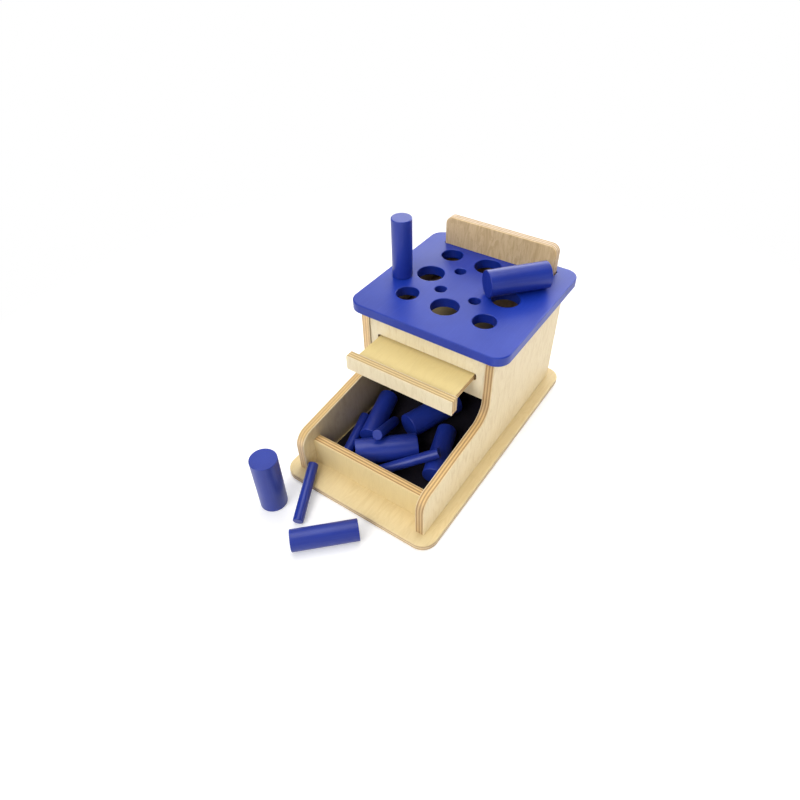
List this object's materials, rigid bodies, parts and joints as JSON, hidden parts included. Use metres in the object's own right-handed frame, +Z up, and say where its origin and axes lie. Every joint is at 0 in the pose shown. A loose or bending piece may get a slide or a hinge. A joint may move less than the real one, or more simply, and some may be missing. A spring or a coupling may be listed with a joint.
{
  "type": "cylinder drop box",
  "caption": "Plywood drop box with a holed blue lid, a pull-out shelf below it, an inner ramp and an open tray, with loose cylinders to drop through.",
  "frame": {"origin": "under the middle of the base board, on its underside", "axes": "+X to the right seen from the tray, -Y towards the tray and the handle, +Z up"},
  "size_m": [0.1666, 0.3443, 0.1972],
  "materials": {
    "birch_plywood": "clear satin lacquer over birch plywood, bare layered edges",
    "solid_beech": "planed beech strip, unfinished",
    "beech_dowel": "turned beech dowel, unfinished",
    "blue_lid_paint": "satin blue paint on plywood",
    "blue_cylinder_paint": "satin blue paint on turned beech",
    "dark_felt": "thin dark navy felt",
    "zinc_screw": "zinc-plated steel"
  },
  "bodies": {
    "house": {"base_board": "birch_plywood", "left_side_panel": "birch_plywood", "right_side_panel": "birch_plywood", "front_wall": "birch_plywood", "front_panel": "birch_plywood", "back_panel": "birch_plywood", "ramp_board": "birch_plywood", "ramp_cleat": "solid_beech", "left_lower_runner": "solid_beech", "left_upper_runner": "solid_beech", "right_lower_runner": "solid_beech", "right_upper_runner": "solid_beech", "lid_dowels": "beech_dowel", "front_wall_dowels": "beech_dowel", "front_panel_dowels": "beech_dowel", "back_panel_dowels": "beech_dowel", "lid": "blue_lid_paint", "tray_mat": "dark_felt", "base_screws": "zinc_screw"},
    "shelf": {"shelf_board": "birch_plywood", "shelf_handle": "birch_plywood", "shelf_batten": "solid_beech"},
    "large_cylinder_front": {"large_cylinder_front": "blue_cylinder_paint"},
    "large_cylinder_rear": {"large_cylinder_rear": "blue_cylinder_paint"},
    "medium_cylinder_rear": {"medium_cylinder_rear": "blue_cylinder_paint"},
    "medium_cylinder_right": {"medium_cylinder_right": "blue_cylinder_paint"},
    "small_cylinder_side": {"small_cylinder_side": "blue_cylinder_paint"},
    "small_cylinder_over": {"small_cylinder_over": "blue_cylinder_paint"},
    "small_cylinder_across": {"small_cylinder_across": "blue_cylinder_paint"},
    "large_cylinder_lid": {"large_cylinder_lid": "blue_cylinder_paint"},
    "medium_cylinder_lid": {"medium_cylinder_lid": "blue_cylinder_paint"},
    "large_cylinder_floor": {"large_cylinder_floor": "blue_cylinder_paint"},
    "medium_cylinder_floor": {"medium_cylinder_floor": "blue_cylinder_paint"},
    "small_cylinder_floor": {"small_cylinder_floor": "blue_cylinder_paint"}
  },
  "joints": [
    {"name": "shelf_slide", "type": "slide", "parent": "house", "child": "shelf", "axis": [0, 1, 0], "range_m": [-0.0775, 0.0369]},
    {"name": "lift_large_cylinder_front", "type": "slide", "parent": "house", "child": "large_cylinder_front", "axis": [0, 0, 1], "range_m": [0, 0.04]},
    {"name": "lift_large_cylinder_rear", "type": "slide", "parent": "house", "child": "large_cylinder_rear", "axis": [0, 0, 1], "range_m": [0, 0.04]},
    {"name": "lift_medium_cylinder_rear", "type": "slide", "parent": "house", "child": "medium_cylinder_rear", "axis": [0, 0, 1], "range_m": [0, 0.04]},
    {"name": "lift_medium_cylinder_right", "type": "slide", "parent": "house", "child": "medium_cylinder_right", "axis": [0, 0, 1], "range_m": [0, 0.04]},
    {"name": "lift_small_cylinder_side", "type": "slide", "parent": "house", "child": "small_cylinder_side", "axis": [0, 0, 1], "range_m": [0, 0.04]},
    {"name": "lift_small_cylinder_over", "type": "slide", "parent": "large_cylinder_front", "child": "small_cylinder_over", "axis": [0.2489, -0.814, 0.5248], "range_m": [0, 0.09]},
    {"name": "lift_small_cylinder_across", "type": "slide", "parent": "medium_cylinder_right", "child": "small_cylinder_across", "axis": [0, 0, 1], "range_m": [0, 0.04]},
    {"name": "lift_large_cylinder_lid", "type": "slide", "parent": "house", "child": "large_cylinder_lid", "axis": [0, 0, 1], "range_m": [0, 0.07]},
    {"name": "lift_medium_cylinder_lid", "type": "slide", "parent": "house", "child": "medium_cylinder_lid", "axis": [0, 0, 1], "range_m": [0, 0.07]},
    {"name": "lift_large_cylinder_floor", "type": "slide", "parent": "house", "child": "large_cylinder_floor", "axis": [0, 0, 1], "range_m": [0, 0.07]},
    {"name": "lift_medium_cylinder_floor", "type": "slide", "parent": "house", "child": "medium_cylinder_floor", "axis": [0, 0, 1], "range_m": [0, 0.07]},
    {"name": "lift_small_cylinder_floor", "type": "slide", "parent": "house", "child": "small_cylinder_floor", "axis": [0, 0, 1], "range_m": [0, 0.07]}
  ]
}
